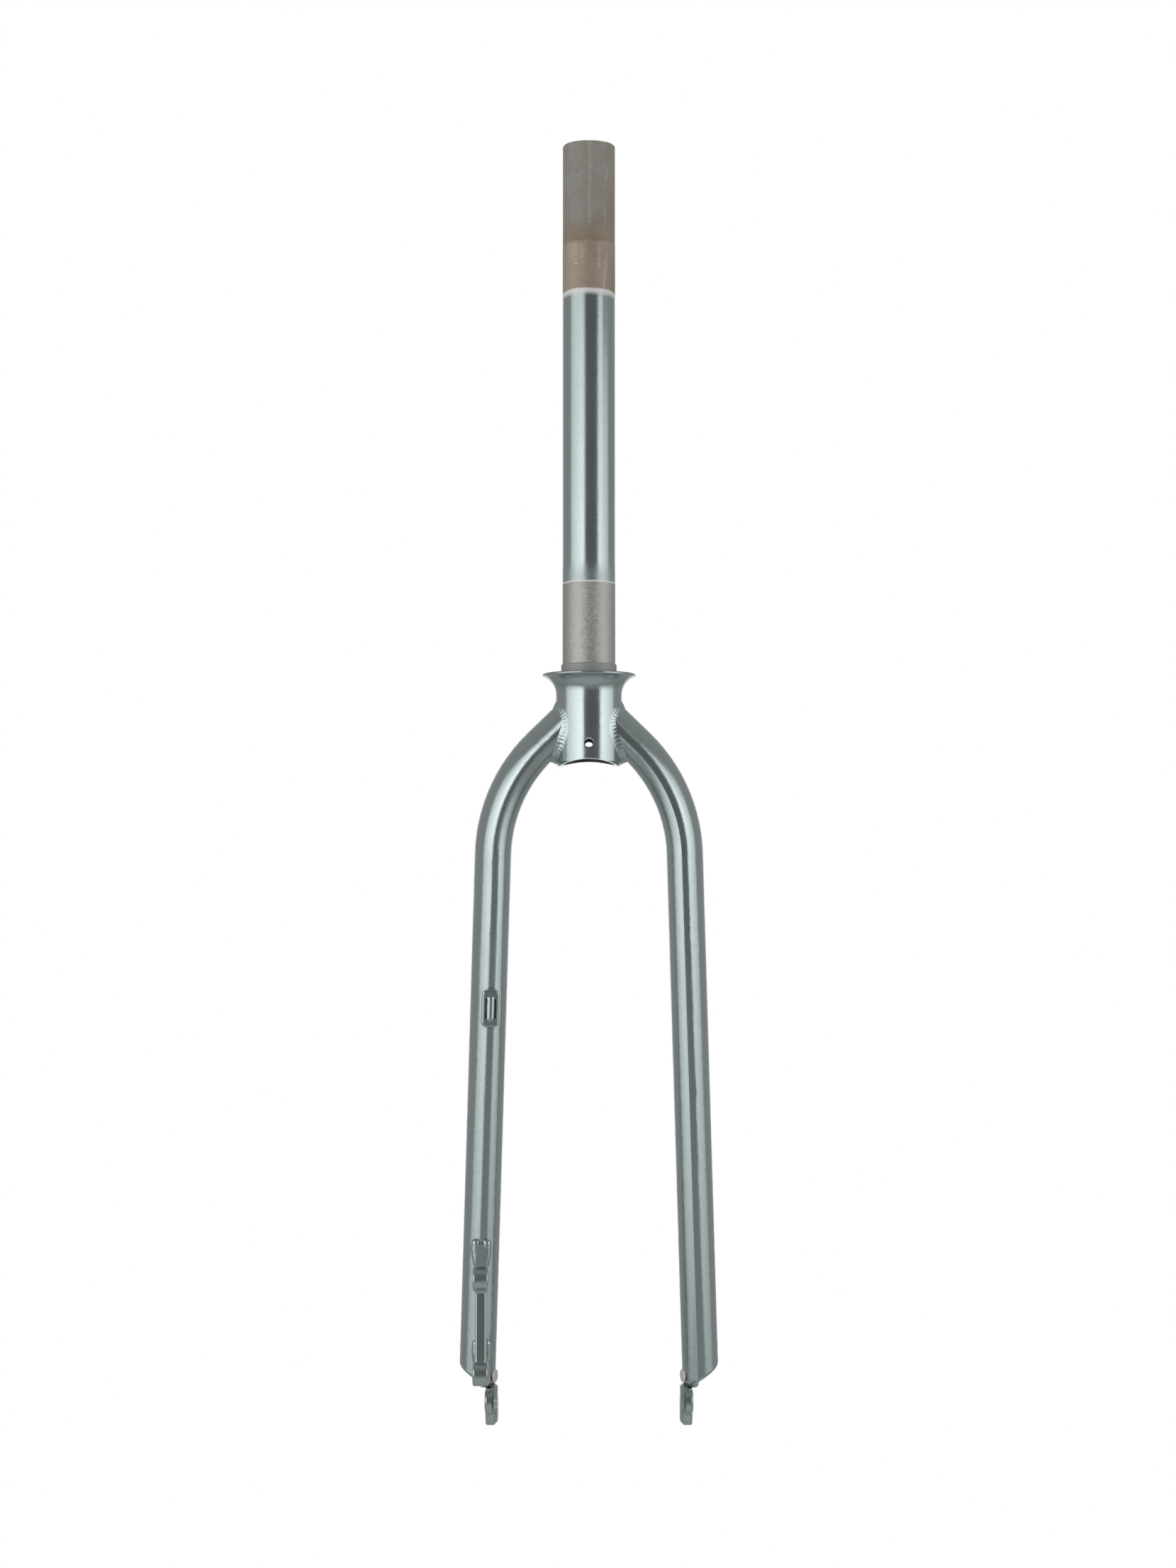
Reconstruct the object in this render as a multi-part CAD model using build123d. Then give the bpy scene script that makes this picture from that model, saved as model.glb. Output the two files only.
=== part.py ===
from build123d import *
import math
import os

# Rigid bicycle fork, welded from steel tube. All sizes are in millimetres.
# Frame: origin on the steering axis at the shoulder of the crown race seat, +Z up the steerer,
# +Y to the front and +X to the rider's right. The left side is the right side mirrored.

# Steerer tube
steerer_diameter = 28.6
steerer_wall = 1.6
steerer_height = 290.0
steerer_depth = 30.0
steerer_chamfer = 0.8
spigot_step = 0.4
keyway_width = 2.8
keyway_depth = 0.9
keyway_length = 46.0

# Crown
seat_wall = 0.75
seat_height = 5.2
seat_chamfer = 0.4
neck_wall = 3.6
flange_reach = 7.5
flange_edge = 1.6
trumpet_height = 9.8
crown_drop = 50.0
arch_rise = 3.2
arch_radius = 39.6
neck_end_taper = 1.0
neck_end_height = 2.0
cross_hole_diameter = 4.8
cross_hole_drop = 38.3
cross_hole_sink = 0.6

# Blades
root_drop = 13.7
root_angle = 46.0
bend_radius = 85.0
splay_angle = 1.8
leg_offset = 8.5
blade_width = 20.0
blade_depth_top = 29.0
blade_depth_end = 22.0
blade_toe = 8.0
blade_wall = 1.3
end_wall = 2.0
end_slope = 35.0
end_corner = 8.0
end_corner_bite = 0.3
end_rounding = 1.8

# Axle and dropouts
rake = 45.0
axle_drop = 398.0
hub_width = 100.0
axle_slot = 9.5
hub_seat_diameter = 24.0
hub_seat_thickness = 2.8
hub_seat_chamfer = 2.0
plate_thickness = 3.8
plate_rounding = 1.2
tongue_width = 10.0
tongue_length = 20.0
tongue_play = 0.1
end_gap = 0.2
end_lap = 0.6
eyelet_diameter = 12.6
eyelet_hole = 4.2
eyelet_back = 20.0
eyelet_rise = 4.0
eyelet_neck = 15.0

# Disc brake mount
mount_pitch = 51.0
mount_hole = 6.2
mount_ear_diameter = 13.0
mount_ear_thickness = 8.4
mount_web_thickness = 6.0
mount_inset = 4.4
mount_setback = 33.0
mount_rise = 20.0
mount_arm_depth = 7.5
mount_arm_recess = 5.0
mount_upper_foot_top = 20.5
mount_lower_foot_top = 18.0
mount_foot_bottom = 2.0
mount_foot_reach = 12.5
mount_corner = 2.0
mount_rounding = 1.1

# Hose guide
guide_run = 83.0
guide_shift = 0.5
guide_width = 9.6
guide_length = 20.5
guide_corner = 2.8
guide_thickness = 1.5
guide_rounding = 1.2
guide_rib_radius = 2.6
guide_rib_length = 15.5
guide_rib_lift = 1.0
guide_slit_length = 11.0
guide_slit_width = 1.1
guide_slit_spacing = 4.8
guide_tunnel_height = 5.2
guide_tunnel_rise = 0.7

# Welds
crown_bead = 3.2
dropout_bead = 2.4
dropout_bead_length = 11.6
plug_diameter = 7.2
plug_height = 4.4
plug_turn = 24.0
plug_depth = 3.0
plug_proud = 0.8
plug_dome = 8.0
foot_bead = 2.2
foot_bead_taper = 25.0
braze_width = 0.8

# Worked out from the driving dimensions
steerer_radius = steerer_diameter / 2
spigot_radius = steerer_radius - spigot_step
neck_radius = steerer_radius + neck_wall
flange_radius = neck_radius + flange_reach
hub_face = hub_width / 2
plate_face = hub_face + hub_seat_thickness
plate_back = plate_face + plate_thickness
hub_seat_radius = hub_seat_diameter / 2
root_sine = math.sin(math.radians(root_angle))
root_cosine = math.cos(math.radians(root_angle))
splay_sine = math.sin(math.radians(splay_angle))
splay_cosine = math.cos(math.radians(splay_angle))
tilt = math.degrees(math.atan2(rake, axle_drop - root_drop))
axle_reach = math.hypot(rake, axle_drop - root_drop)
flat_end = -axle_reach + hub_seat_radius + end_gap
splay_slope = splay_sine / splay_cosine
bend_spread = splay_cosine - root_cosine + (splay_sine - root_sine) * splay_slope
leg_spread = plate_face + leg_offset + flat_end * splay_slope - bend_radius * bend_spread
root_run = leg_spread / (root_sine - root_cosine * splay_slope)
bend_start = Vector(root_run * root_sine, 0, -root_run * root_cosine)
bend_centre = bend_start - Vector(root_cosine, 0, root_sine) * bend_radius
bend_end = bend_centre + Vector(splay_cosine, 0, splay_sine) * bend_radius
leg_direction = Vector(splay_sine, 0, -splay_cosine)
leg_normal = Vector(splay_cosine, 0, splay_sine)
leg_length = (bend_end.Z - flat_end) / splay_cosine
axle_point = (rake, -axle_drop)


def raked(shape):
    # Tips an upright blade, or a piece on it, forward about its root on the steering axis.
    return Pos(0, 0, -root_drop) * Rot(tilt, 0, 0) * shape


def leg_depth(run):
    # The blade's front to back size at that distance below the bend.
    return blade_depth_top + (blade_depth_end - blade_depth_top) * run / leg_length


def leg_plane(run):
    # A plane on the leg's axis that faces the rear, with its Y up the leg.
    return Plane(bend_end + leg_direction * run, x_dir=leg_normal, z_dir=(0, -1, 0))


def full_blade(grow):
    # The upright blade's bent oval, grown all round, with its root at the origin and its lower end uncut.
    half_width = blade_width / 2 + grow
    run = Line((0, 0, 0), bend_start)
    bend = TangentArc(bend_start, bend_end, tangent=run % 1)
    root_plane = Plane((0, 0, 0), x_dir=(root_cosine, 0, root_sine), z_dir=(root_sine, 0, -root_cosine))
    toe = Rot(0, 0, blade_toe)
    root = root_plane * toe * Ellipse(half_width, blade_depth_top / 2 + grow)
    upper = sweep(root, path=run + bend)
    overrun = leg_length + blade_width / 4
    top_plane = Plane(bend_end, x_dir=leg_normal, z_dir=leg_direction)
    low_plane = Plane(bend_end + leg_direction * overrun, x_dir=leg_normal, z_dir=leg_direction)
    top = top_plane * toe * Ellipse(half_width, blade_depth_top / 2 + grow)
    low = low_plane * toe * Ellipse(half_width, leg_depth(overrun) / 2 + grow)
    lower = loft([top, low])
    return upper + lower


def end_cut(lift):
    # What is below the blade's closed end, raised by the lift: flat over the dropout, then sloping up to
    # the outer side with a round corner.
    low = flat_end + lift
    reach = blade_width * 2
    rise = reach * math.tan(math.radians(end_slope))
    slope = Vector(math.cos(math.radians(end_slope)), math.sin(math.radians(end_slope)))
    across = Vector(-slope.Y, slope.X)
    knee = plate_back + end_lap
    outer = bend_end.X + (bend_end.Z - low) * splay_slope + blade_width / 2
    centre_x = outer - end_corner + end_corner_bite
    along = (centre_x - across.X * end_corner - knee) / slope.X
    tangent = Vector(knee, low) + slope * along
    centre = tangent + across * end_corner
    corner = Pos(centre.X, centre.Y) * Circle(end_corner)
    below = Polygon((0, low), (knee, low), (knee + reach, low + rise), (knee + reach, low - reach),
                    (0, low - reach), align=None)
    beside = Polygon((tangent.X, tangent.Y), (centre.X, centre.Y), (centre.X + end_corner, centre.Y),
                     (centre.X + reach, centre.Y), (centre.X + reach, tangent.Y - reach), align=None)
    outline = below + (beside - corner)
    return extrude(Plane.XZ * outline, amount=blade_depth_top, both=True)


def steerer_tube():
    # The tube stands with its shoulder on the race seat and its spigot inside the crown.
    tube = Pos(0, 0, seat_height) * Cylinder(
        steerer_radius, steerer_height - seat_height, align=(Align.CENTER, Align.CENTER, Align.MIN))
    tube = chamfer(tube.edges().group_by(Axis.Z)[-1], steerer_chamfer)
    tube += Pos(0, 0, -steerer_depth) * Cylinder(
        spigot_radius, seat_height + steerer_depth, align=(Align.CENTER, Align.CENTER, Align.MIN))
    tube -= Cylinder(steerer_radius - steerer_wall, 3 * steerer_height)
    keyway = Pos(0, keyway_depth - steerer_radius, steerer_height) * Box(
        keyway_width, steerer_wall * 2, keyway_length * 2, align=(Align.CENTER, Align.MAX, Align.CENTER))
    return tube - keyway


def fork_crown():
    seat_radius = steerer_radius + seat_wall
    trumpet_foot = -flange_edge - trumpet_height
    rim = flange_radius - flange_edge / 2
    side = Polyline((rim, 0), (seat_radius, 0), (seat_radius, seat_height - seat_chamfer),
                    (seat_radius - seat_chamfer, seat_height), (spigot_radius, seat_height),
                    (spigot_radius, -crown_drop), (neck_radius - neck_end_taper, -crown_drop),
                    (neck_radius, neck_end_height - crown_drop), (neck_radius, trumpet_foot))
    trumpet = TangentArc((neck_radius, trumpet_foot), (rim, -flange_edge), tangent=(0, 1))
    edge = ThreePointArc((rim, -flange_edge), (flange_radius, -flange_edge / 2), (rim, 0))
    crown = revolve(Plane.XZ * make_face(side + trumpet + edge), Axis.Z)
    through = Rot(90, 0, 0)
    arch = Pos(0, 0, arch_rise - crown_drop - arch_radius) * through * Cylinder(arch_radius, 4 * neck_radius)
    hole = Pos(0, 0, -cross_hole_drop) * through * Cylinder(cross_hole_diameter / 2, 4 * neck_radius)
    crown -= arch
    crown -= hole
    sink_depth = neck_radius - cross_hole_sink
    for side_turn in (90, -90):
        sink = Pos(0, 0, -cross_hole_drop) * Rot(side_turn, 0, 0) * Pos(0, 0, sink_depth) * Cone(
            cross_hole_diameter / 2, cross_hole_diameter / 2 + 2 * cross_hole_sink, 2 * cross_hole_sink,
            align=(Align.CENTER, Align.CENTER, Align.MIN))
        crown -= sink
    return crown


def crown_core(grow):
    # The crown's neck as a plain bar, grown all round, that the blades are coped to.
    return Pos(0, 0, -2 * crown_drop) * Cylinder(
        neck_radius + grow, 2 * crown_drop, align=(Align.CENTER, Align.CENTER, Align.MIN))


def blade_form():
    # The blade's outside as one solid, with its lower end closed and its root still running into the crown.
    form = full_blade(0) - end_cut(0)
    end_edges = form.edges().filter_by_position(Axis.Z, flat_end - end_wall, flat_end + blade_width)
    return raked(fillet(end_edges, end_rounding))


def plug_bar(proud):
    # A round bar through the blade's inner wall, turned to the rear, that stands out of it by that much.
    place = Pos(plate_face + leg_offset, 0, flat_end + plug_height) * Rot(0, 0, plug_turn) * Rot(0, -90, 0)
    start = blade_depth_end / 2 - plug_depth
    bar = Pos(0, 0, start) * Cylinder(
        plug_diameter / 2, plug_depth + proud, align=(Align.CENTER, Align.CENTER, Align.MIN))
    dome = Pos(0, 0, start + plug_depth + proud - plug_dome) * Sphere(plug_dome)
    return place * (bar & dome)


def tongue_slot():
    # The slot in the blade's closed end that the dropout's tongue goes through.
    low = flat_end - end_wall
    return Pos((plate_face + plate_back) / 2, 0, low) * Box(
        plate_thickness + 2 * tongue_play, tongue_width + 2 * tongue_play, tongue_length + 2 * end_wall,
        align=(Align.CENTER, Align.CENTER, Align.MIN))


def blade(form):
    hollow = full_blade(-blade_wall) - end_cut(end_wall)
    return form - crown_core(0) - raked(hollow) - raked(tongue_slot()) - raked(plug_bar(plug_dome))


def dropout_plate():
    turn = Location((axle_point[0], axle_point[1]), tilt)
    tongue_reach = hub_seat_radius + end_gap + tongue_length
    tongue = turn * Pos(0, tongue_reach / 2) * Rectangle(tongue_width, tongue_reach)
    disc = Pos(*axle_point) * Circle(hub_seat_radius)
    eyelet_point = (rake - eyelet_back, eyelet_rise - axle_drop)
    eyelet = Pos(*eyelet_point) * Circle(eyelet_diameter / 2)
    neck = make_hull((Pos(*axle_point) * Circle(eyelet_neck / 2)).edges() + eyelet.edges())
    plate = extrude(Plane.YZ.offset(plate_face) * (tongue + disc + neck), amount=plate_thickness)
    plate = fillet(plate.faces().sort_by(Axis.X)[-1].edges(), plate_rounding)
    seat = Plane.YZ.offset(plate_face) * Pos(*axle_point) * Cylinder(
        hub_seat_radius, hub_seat_thickness, align=(Align.CENTER, Align.CENTER, Align.MAX))
    seat = chamfer(seat.edges().group_by(Axis.X)[0], hub_seat_chamfer)
    slot_length = hub_seat_radius * 2
    slot = Pos(*axle_point) * Circle(axle_slot / 2)
    slot += Pos(axle_point[0], axle_point[1] - slot_length / 2) * Rectangle(axle_slot, slot_length)
    slot += Pos(*eyelet_point) * Circle(eyelet_hole / 2)
    return plate + seat - extrude(Plane.YZ * slot, amount=hub_width)


def capsule(length, radius):
    # A round bar along Y with ball ends, as long as that overall.
    outline = SlotOverall(length, 2 * radius) & Pos(0, radius) * Rectangle(length, 2 * radius)
    return Rot(0, 0, 90) * revolve(outline, Axis.X)


def dropout_weld(form):
    # A bead in the corner between the plate's outer face and the blade's sloping end.
    place = Pos(plate_back, 0, flat_end)
    bead = Pos(dropout_bead / 2, 0, 0) * capsule(dropout_bead_length, dropout_bead)
    bead -= Box(4 * dropout_bead, 2 * dropout_bead_length, 4 * dropout_bead,
                align=(Align.MAX, Align.CENTER, Align.CENTER))
    return raked(place * bead) - form


def plug_weld():
    # A round of weld in the blade's inner wall that holds the tongue, with a domed face.
    tongue_side = Pos(plate_face, 0, flat_end) * Box(
        blade_width, blade_depth_end, blade_width, align=(Align.MIN, Align.CENTER, Align.CENTER))
    return raked(plug_bar(plug_proud) - tongue_side)


def crown_weld(form):
    # The flat-faced bead in the corner round the blade where it is coped to the crown.
    core = crown_core(0)
    joined = core + form
    seam = new_edges(core, form, combined=joined)
    return chamfer(seam, crown_bead) - core - form


def mount_ears():
    # For each ear the place of its hole, to the front and up, and how far above that its foot ends.
    hole_row = rake - mount_setback
    low = mount_rise - axle_drop
    upper = (hole_row, low + mount_pitch, mount_upper_foot_top)
    lower = (hole_row, low, mount_lower_foot_top)
    return upper, lower


def disc_mount(form):
    ears = mount_ears()
    ear_radius = mount_ear_diameter / 2
    outline = Sketch()
    for row, height, foot_top in ears:
        foot = row + mount_foot_reach
        sunk = foot + mount_foot_reach
        top = height + foot_top
        bottom = height + mount_foot_bottom
        outline += Pos(row, height) * Circle(ear_radius)
        outline += Polygon((row, height + ear_radius), (foot, top), (sunk, top), (sunk, bottom),
                           (foot, bottom), (row, height - ear_radius / 2), align=None)
    arm_back = ears[0][0] - ear_radius + mount_arm_recess
    arm = Rectangle(mount_arm_depth, mount_pitch, align=(Align.MIN, Align.MIN))
    outline += Pos(arm_back, ears[1][1]) * arm
    outline = offset(offset(outline, mount_corner), -mount_corner)
    middle = hub_face + mount_inset + mount_ear_thickness / 2
    web = extrude(Plane.YZ.offset(middle) * outline, amount=mount_web_thickness / 2, both=True)
    flanks = web.faces().sort_by(Axis.X)
    mount = fillet(flanks[0].edges() + flanks[-1].edges(), mount_rounding)
    for row, height, foot_top in ears:
        ear = Pos(row, height) * Circle(ear_radius)
        boss = extrude(Plane.YZ.offset(middle) * ear, amount=mount_ear_thickness / 2, both=True)
        mount += fillet(boss.edges().filter_by(GeomType.CIRCLE), mount_rounding)
    mount -= form
    for row, height, foot_top in ears:
        hole = Pos(row, height) * Circle(mount_hole / 2)
        mount -= extrude(Plane.YZ.offset(middle) * hole, amount=mount_ear_thickness, both=True)
    return mount


def guide_place():
    # The hose guide's place, near the ridge of the toed oval, with its Z out of the blade.
    return leg_plane(guide_run) * Rot(0, -blade_toe, 0) * Pos(guide_shift, 0, 0)


def hose_guide(form):
    # A flat pad with a rib along it, and a tunnel for a tie from slit to slit under the rib.
    skin = leg_depth(guide_run) / 2
    face = skin + guide_thickness
    guide = extrude(RectangleRounded(guide_width, guide_length, guide_corner), amount=face)
    guide = fillet(guide.faces().sort_by(Axis.Z)[-1].edges(), guide_rounding)
    guide += Pos(0, 0, face + guide_rib_lift - guide_rib_radius) * capsule(guide_rib_length, guide_rib_radius)
    for side in (-guide_slit_spacing / 2, guide_slit_spacing / 2):
        slit = Pos(side, 0) * Rot(0, 0, 90) * SlotOverall(guide_slit_length, guide_slit_width)
        guide -= extrude(slit, amount=blade_depth_top)
    guide -= Box(guide_slit_spacing, guide_tunnel_height, 2 * (skin + guide_tunnel_rise))
    return raked(guide_place() * guide) - form


def hose_guide_braze(form, guide):
    # The thin fillet round the guide's pad.
    outline = RectangleRounded(
        guide_width + 2 * braze_width, guide_length + 2 * braze_width, guide_corner + braze_width)
    outline -= RectangleRounded(guide_width, guide_length, guide_corner)
    ring = extrude(guide_place() * outline, amount=blade_depth_top)
    return raked(ring & full_blade(braze_width)) - form - guide


def foot_weld(form, mount, ear):
    # The bead round one foot of the disc mount, with sloping sides.
    row, height, foot_top = ear
    foot_middle = height + (foot_top + mount_foot_bottom) / 2
    along = -(foot_middle + root_drop) / math.cos(math.radians(tilt))
    run = (bend_end.Z + along) / splay_cosine
    place = leg_plane(run)
    skin = leg_depth(run) / 2
    middle = hub_face + mount_inset + mount_ear_thickness / 2
    shift = middle - (bend_end + leg_direction * run).X
    deep = blade_width / 4
    spread = 2 * (deep + foot_bead) * math.tan(math.radians(foot_bead_taper))
    width = mount_web_thickness + spread
    length = foot_top - mount_foot_bottom + spread
    outline = Pos(shift, 0) * Rot(0, 0, 90) * SlotOverall(length, width)
    bead = extrude(place.offset(skin - deep) * outline, amount=deep + foot_bead, taper=foot_bead_taper)
    return raked(bead) - form - mount


def mirrored(shape):
    return mirror(shape, about=Plane.YZ)


def build_nodes():
    form = blade_form()
    dropout = dropout_plate()
    right_blade = blade(form)
    right_crown_weld = crown_weld(form)
    right_dropout_weld = dropout_weld(form)
    right_plug_weld = plug_weld()
    mount = disc_mount(form)
    guide = hose_guide(form)
    upper, lower = mount_ears()
    return {
        "steerer_tube": steerer_tube(),
        "fork_crown": fork_crown(),
        "right_blade": right_blade,
        "left_blade": mirrored(right_blade),
        "right_crown_weld": right_crown_weld,
        "left_crown_weld": mirrored(right_crown_weld),
        "right_dropout": dropout,
        "left_dropout": mirrored(dropout),
        "right_dropout_weld": right_dropout_weld,
        "left_dropout_weld": mirrored(right_dropout_weld),
        "right_plug_weld": right_plug_weld,
        "left_plug_weld": mirrored(right_plug_weld),
        "disc_mount": mirrored(mount),
        "disc_mount_upper_weld": mirrored(foot_weld(form, mount, upper)),
        "disc_mount_lower_weld": mirrored(foot_weld(form, mount, lower)),
        "hose_guide": mirrored(guide),
        "hose_guide_braze": mirrored(hose_guide_braze(form, guide)),
    }


os.makedirs("parts", exist_ok=True)
for name, shape in build_nodes().items():
    export_step(shape, f"parts/{name}.step")
    print(name, round(shape.volume, 1))
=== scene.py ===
import math

import bmesh
import bpy
from mathutils import Matrix, Vector, noise
from mathutils.bvhtree import BVHTree


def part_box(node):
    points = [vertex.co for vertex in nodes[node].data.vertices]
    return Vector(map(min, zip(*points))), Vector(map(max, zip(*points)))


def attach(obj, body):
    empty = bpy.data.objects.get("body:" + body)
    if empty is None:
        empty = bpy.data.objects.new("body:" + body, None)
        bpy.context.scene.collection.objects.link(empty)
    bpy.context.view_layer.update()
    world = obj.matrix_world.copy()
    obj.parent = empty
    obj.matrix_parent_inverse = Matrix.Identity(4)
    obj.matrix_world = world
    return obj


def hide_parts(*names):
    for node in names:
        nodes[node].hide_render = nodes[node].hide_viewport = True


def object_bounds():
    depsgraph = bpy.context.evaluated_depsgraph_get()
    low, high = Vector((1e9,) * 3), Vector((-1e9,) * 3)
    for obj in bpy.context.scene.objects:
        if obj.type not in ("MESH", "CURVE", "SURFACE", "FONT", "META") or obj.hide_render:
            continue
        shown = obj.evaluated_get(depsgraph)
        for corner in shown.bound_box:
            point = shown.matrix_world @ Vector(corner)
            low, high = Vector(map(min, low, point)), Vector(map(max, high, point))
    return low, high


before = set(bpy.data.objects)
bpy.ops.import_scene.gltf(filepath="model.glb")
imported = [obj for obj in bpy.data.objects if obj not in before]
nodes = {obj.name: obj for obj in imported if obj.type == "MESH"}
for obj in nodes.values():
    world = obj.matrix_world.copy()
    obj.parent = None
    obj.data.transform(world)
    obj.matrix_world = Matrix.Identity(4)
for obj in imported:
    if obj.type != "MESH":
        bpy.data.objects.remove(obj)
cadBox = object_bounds()
print("frame loaded with", len(nodes), "nodes")

# everything is in metres, in the frame of the solids: origin at the race seat, +Z up, +Y to the front

# where a mix node keeps its two inputs and its output, by kind of data
mixSockets = {"FLOAT": (2, 3, 0), "VECTOR": (4, 5, 1), "RGBA": (6, 7, 2)}


# small helpers for node trees
def addNode(tree, kind, inputs=None, **settings):
    made = tree.nodes.new(kind)
    for key, value in settings.items():
        setattr(made, key, value)
    for key, value in (inputs or {}).items():
        made.inputs[key].default_value = value
    return made


def feed(tree, target, source):
    # a socket is linked, anything else is the socket's own value
    if isinstance(source, bpy.types.NodeSocket):
        tree.links.new(source, target)
    else:
        target.default_value = source


def mathNode(tree, operation, first, second):
    made = addNode(tree, "ShaderNodeMath", operation=operation)
    feed(tree, made.inputs[0], first)
    feed(tree, made.inputs[1], second)
    return made.outputs["Value"]


def mixNode(tree, kind, factor, first, second):
    firstPlace, secondPlace, outputPlace = mixSockets[kind]
    made = addNode(tree, "ShaderNodeMix", data_type=kind)
    feed(tree, made.inputs[0], factor)
    feed(tree, made.inputs[firstPlace], first)
    feed(tree, made.inputs[secondPlace], second)
    return made.outputs[outputPlace]


def mixColour(tree, factor, first, second):
    return mixNode(tree, "RGBA", factor, first, second)


def mixValue(tree, factor, first, second):
    return mixNode(tree, "FLOAT", factor, first, second)


def mixVector(tree, factor, first, second):
    return mixNode(tree, "VECTOR", factor, first, second)


def ramp(tree, value, low, high, start=0.0, end=1.0):
    # a soft step from start to end as the value goes from low to high
    made = addNode(tree, "ShaderNodeMapRange", interpolation_type="SMOOTHSTEP")
    feed(tree, made.inputs["Value"], value)
    made.inputs["From Min"].default_value = low
    made.inputs["From Max"].default_value = high
    made.inputs["To Min"].default_value = start
    made.inputs["To Max"].default_value = end
    return made.outputs["Result"]


def noiseAt(tree, vector, scale, detail):
    made = addNode(tree, "ShaderNodeTexNoise", {"Scale": scale, "Detail": detail})
    tree.links.new(vector, made.inputs["Vector"])
    return made.outputs["Fac"]


def newMaterial(name):
    material = bpy.data.materials.new(name)
    material.use_nodes = True
    tree = material.node_tree
    tree.nodes.clear()
    output = addNode(tree, "ShaderNodeOutputMaterial")
    shader = addNode(tree, "ShaderNodeBsdfPrincipled")
    tree.links.new(shader.outputs["BSDF"], output.inputs["Surface"])
    return material, tree, shader


def newGroup(name, inputs, outputs):
    group = bpy.data.node_groups.new(name, "ShaderNodeTree")
    for label, value in inputs.items():
        socket = group.interface.new_socket(name=label, in_out="INPUT", socket_type="NodeSocketFloat")
        socket.default_value = value
    for label, kind in outputs.items():
        group.interface.new_socket(name=label, in_out="OUTPUT", socket_type=kind)
    return group, addNode(group, "NodeGroupInput"), addNode(group, "NodeGroupOutput")


def placeGroup(tree, group, **values):
    made = addNode(tree, "ShaderNodeGroup", node_tree=group)
    for label, value in values.items():
        feed(tree, made.inputs[label], value)
    return made


# effects that several finishes share
def makeFlakes():
    # metal flakes or open grain: each small cell leans its own way and has its own brightness
    group, given, result = newGroup(
        "metalFlakes", {"Density": 2500.0, "Lean": 0.1},
        {"Normal": "NodeSocketVector", "Glint": "NodeSocketFloat"})
    place = addNode(group, "ShaderNodeTexCoord")
    surface = addNode(group, "ShaderNodeNewGeometry")
    cells = addNode(group, "ShaderNodeTexVoronoi", voronoi_dimensions="3D", feature="F1")
    group.links.new(place.outputs["Object"], cells.inputs["Vector"])
    group.links.new(given.outputs["Density"], cells.inputs["Scale"])
    centred = addNode(group, "ShaderNodeVectorMath", operation="SUBTRACT")
    centred.inputs[1].default_value = (0.5, 0.5, 0.5)
    group.links.new(cells.outputs["Color"], centred.inputs[0])
    leaning = addNode(group, "ShaderNodeVectorMath", operation="SCALE")
    group.links.new(centred.outputs["Vector"], leaning.inputs[0])
    group.links.new(given.outputs["Lean"], leaning.inputs["Scale"])
    added = addNode(group, "ShaderNodeVectorMath", operation="ADD")
    group.links.new(surface.outputs["Normal"], added.inputs[0])
    group.links.new(leaning.outputs["Vector"], added.inputs[1])
    unit = addNode(group, "ShaderNodeVectorMath", operation="NORMALIZE")
    group.links.new(added.outputs["Vector"], unit.inputs[0])
    group.links.new(unit.outputs["Vector"], result.inputs["Normal"])
    parts = addNode(group, "ShaderNodeSeparateColor")
    group.links.new(cells.outputs["Color"], parts.inputs["Color"])
    group.links.new(parts.outputs["Red"], result.inputs["Glint"])
    return group


cloudLook = {
    "slow": {"Detail": 4.0, "Roughness": 0.55},
    "fine": {"Detail": 2.0, "Roughness": 0.6},
    "cloudRange": (0.3, 0.7),
    "speckRange": (0.35, 0.7),
}


def makeClouds():
    # slow unevenness of a finish, and finer specks
    group, given, result = newGroup(
        "finishClouds", {"Scale": 40.0, "Specks": 900.0},
        {"Cloud": "NodeSocketFloat", "Speck": "NodeSocketFloat"})
    place = addNode(group, "ShaderNodeTexCoord")
    slow = addNode(group, "ShaderNodeTexNoise", cloudLook["slow"])
    group.links.new(place.outputs["Object"], slow.inputs["Vector"])
    group.links.new(given.outputs["Scale"], slow.inputs["Scale"])
    fine = addNode(group, "ShaderNodeTexNoise", cloudLook["fine"])
    group.links.new(place.outputs["Object"], fine.inputs["Vector"])
    group.links.new(given.outputs["Specks"], fine.inputs["Scale"])
    cloud = ramp(group, slow.outputs["Fac"], *cloudLook["cloudRange"])
    speck = ramp(group, fine.outputs["Fac"], *cloudLook["speckRange"])
    group.links.new(cloud, result.inputs["Cloud"])
    group.links.new(speck, result.inputs["Speck"])
    return group


metalFlakes = makeFlakes()
finishClouds = makeClouds()

# the silver metallic paint of most pieces, and of the masked bands on the steerer and crown
paintLook = {
    "light": (0.50, 0.575, 0.575, 1.0),
    "dark": (0.42, 0.49, 0.49, 1.0),
    "flakeDensity": 4200.0,
    "flakeLean": 0.06,
    "cloudScale": 35.0,
    "cloudShare": 0.12,      # how far the clouds darken the paint
    "roughLow": 0.18,
    "roughHigh": 0.23,
    "coat": 0.35,
    "coatRough": 0.06,
    # colour of the painted shade in the corners and slits
    "dustAndShade": (0.16, 0.175, 0.175, 1.0),
    "shadeReach": 0.0022,     # corners narrower than this get painted shade
    "shadeRange": (0.25, 0.80),
    "shadeSamples": 8,
}


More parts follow.
